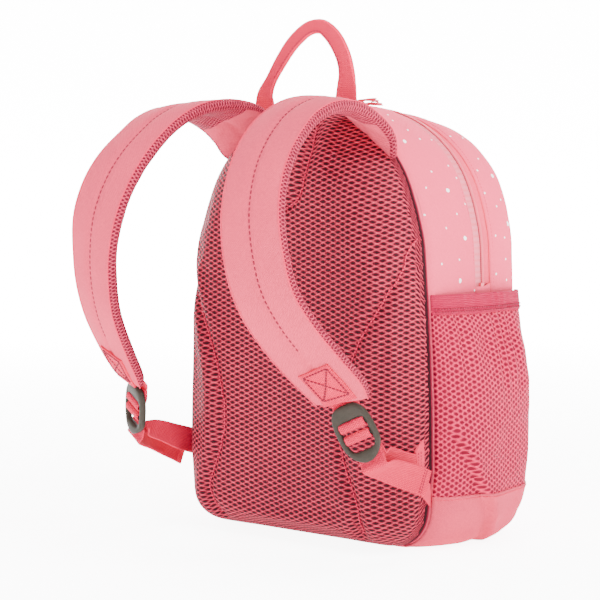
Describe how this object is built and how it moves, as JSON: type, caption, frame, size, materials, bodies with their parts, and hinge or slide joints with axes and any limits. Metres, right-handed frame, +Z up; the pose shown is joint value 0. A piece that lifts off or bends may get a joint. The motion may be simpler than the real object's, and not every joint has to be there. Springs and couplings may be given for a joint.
{
  "type": "school backpack",
  "caption": "Small round-topped child's backpack with a padded mesh back, two padded shoulder straps, webbing handle, arched zip and side pockets.",
  "frame": {"origin": "on the floor, under the middle of the main zipper's plane, centred between the sides", "axes": "+Z up; +Y towards the wearer's back; -X is the wearer's left side"},
  "size_m": [0.2722, 0.3087, 0.3926],
  "materials": {
    "air_mesh": "open spacer mesh",
    "pocket_mesh": "open mesh",
    "elastic": "ribbed",
    "foam": "foam",
    "lining": "plain weave",
    "zip_coil": "satin",
    "zip_tape": "woven tape",
    "zip_metal": "satin",
    "buckle_plastic": "moulded",
    "webbing": "woven webbing",
    "printed_twill": "twill with dots",
    "plain_twill": "twill"
  },
  "bodies": {
    "bag": {"rear_top_gusset": "printed_twill", "side_gusset_left": "plain_twill", "side_gusset_right": "plain_twill", "base_panel": "plain_twill", "base_foam_sheet": "foam", "main_zip_tape_rear": "zip_tape", "main_zip_coil_rear": "zip_coil", "main_zip_stops": "zip_metal", "front_panel_lower": "printed_twill", "back_mesh_panel": "air_mesh", "back_foam_pad": "foam", "back_lining": "lining", "side_pocket_band_left": "plain_twill", "side_pocket_mesh_left": "pocket_mesh", "side_pocket_elastic_left": "elastic", "side_pocket_band_right": "plain_twill", "side_pocket_mesh_right": "pocket_mesh", "side_pocket_elastic_right": "elastic", "front_pocket_shell": "printed_twill", "front_pocket_zip_tape": "zip_tape", "front_pocket_zip_coil": "zip_coil", "lower_webbing_left": "webbing", "lower_webbing_right": "webbing", "strap_wing_left": "plain_twill", "strap_wing_right": "plain_twill"},
    "front_flap": {"front_top_gusset": "printed_twill", "front_panel_upper": "printed_twill", "main_zip_tape_front": "zip_tape", "main_zip_coil_front": "zip_coil"},
    "handle": {"grab_handle": "webbing"},
    "front_pocket_runner": {"front_pocket_slider": "zip_metal"},
    "front_pocket_tab": {"front_pocket_pull": "zip_metal"},
    "zip_runner_left": {"main_zip_slider_left": "zip_metal"},
    "zip_tab_left": {"main_zip_pull_left": "zip_metal"},
    "shoulder_strap_left": {"strap_cover_left": "plain_twill", "strap_foam_left": "foam", "strap_mesh_left": "air_mesh", "anchor_webbing_left": "webbing", "strap_patch_left": "webbing"},
    "buckle_left": {"ladder_lock_left": "buckle_plastic", "webbing_tail_left": "webbing"},
    "zip_runner_right": {"main_zip_slider_right": "zip_metal"},
    "zip_tab_right": {"main_zip_pull_right": "zip_metal"},
    "shoulder_strap_right": {"strap_cover_right": "plain_twill", "strap_foam_right": "foam", "strap_mesh_right": "air_mesh", "anchor_webbing_right": "webbing", "strap_patch_right": "webbing"},
    "buckle_right": {"ladder_lock_right": "buckle_plastic", "webbing_tail_right": "webbing"}
  },
  "joints": [
    {"name": "flap_open", "type": "hinge", "parent": "bag", "child": "front_flap", "pos_m": [0, -0.05, 0.19], "axis": [1, 0, 0], "range_deg": [0, 72]},
    {"name": "handle_swing", "type": "hinge", "parent": "bag", "child": "handle", "pos_m": [0.005, 0.0645, 0.3295], "axis": [1, 0, 0], "range_deg": [-40, 60]},
    {"name": "zip_run_left", "type": "hinge", "parent": "bag", "child": "zip_runner_left", "pos_m": [0, 0, 0.22], "axis": [0, -1, 0], "range_deg": [0, 80]},
    {"name": "zip_tab_lift_left", "type": "hinge", "parent": "zip_runner_left", "child": "zip_tab_left", "pos_m": [-0.00715, 0, 0.33367], "axis": [0, -1, 0], "range_deg": [0, 140]},
    {"name": "strap_swing_left", "type": "hinge", "parent": "bag", "child": "shoulder_strap_left", "pos_m": [-0.0635, 0.07, 0.306], "axis": [1, 0, 0], "range_deg": [-3, 9], "deforming": ["lower_webbing_left"]},
    {"name": "buckle_swing_left", "type": "hinge", "parent": "shoulder_strap_left", "child": "buckle_left", "pos_m": [-0.10433, 0.15365, 0.10771], "axis": [0.8537, 0.2499, -0.4569], "range_deg": [-5, 5], "deforming": ["lower_webbing_left"]},
    {"name": "zip_run_right", "type": "hinge", "parent": "bag", "child": "zip_runner_right", "pos_m": [0, 0, 0.22], "axis": [0, 1, 0], "range_deg": [0, 80]},
    {"name": "zip_tab_lift_right", "type": "hinge", "parent": "zip_runner_right", "child": "zip_tab_right", "pos_m": [0.00715, 0, 0.33367], "axis": [0, 1, 0], "range_deg": [0, 140]},
    {"name": "strap_swing_right", "type": "hinge", "parent": "bag", "child": "shoulder_strap_right", "pos_m": [0.0635, 0.07, 0.306], "axis": [1, 0, 0], "range_deg": [-3, 9], "deforming": ["lower_webbing_right"]},
    {"name": "buckle_swing_right", "type": "hinge", "parent": "shoulder_strap_right", "child": "buckle_right", "pos_m": [0.10433, 0.15365, 0.10771], "axis": [0.8537, -0.2499, 0.4569], "range_deg": [-5, 5], "deforming": ["lower_webbing_right"]},
    {"name": "front_pocket_zip_run", "type": "slide", "parent": "bag", "child": "front_pocket_runner", "axis": [1, 0, 0], "range_m": [0, 0.096]},
    {"name": "front_pocket_tab_lift", "type": "hinge", "parent": "front_pocket_runner", "child": "front_pocket_tab", "pos_m": [-0.048, -0.0795, 0.138], "axis": [-1, 0, 0], "range_deg": [0, 150]}
  ],
  "couplings": [
    {"joint": "zip_run_left", "follows": "flap_open", "ratio": 1.11},
    {"joint": "zip_run_right", "follows": "flap_open", "ratio": 1.11}
  ]
}
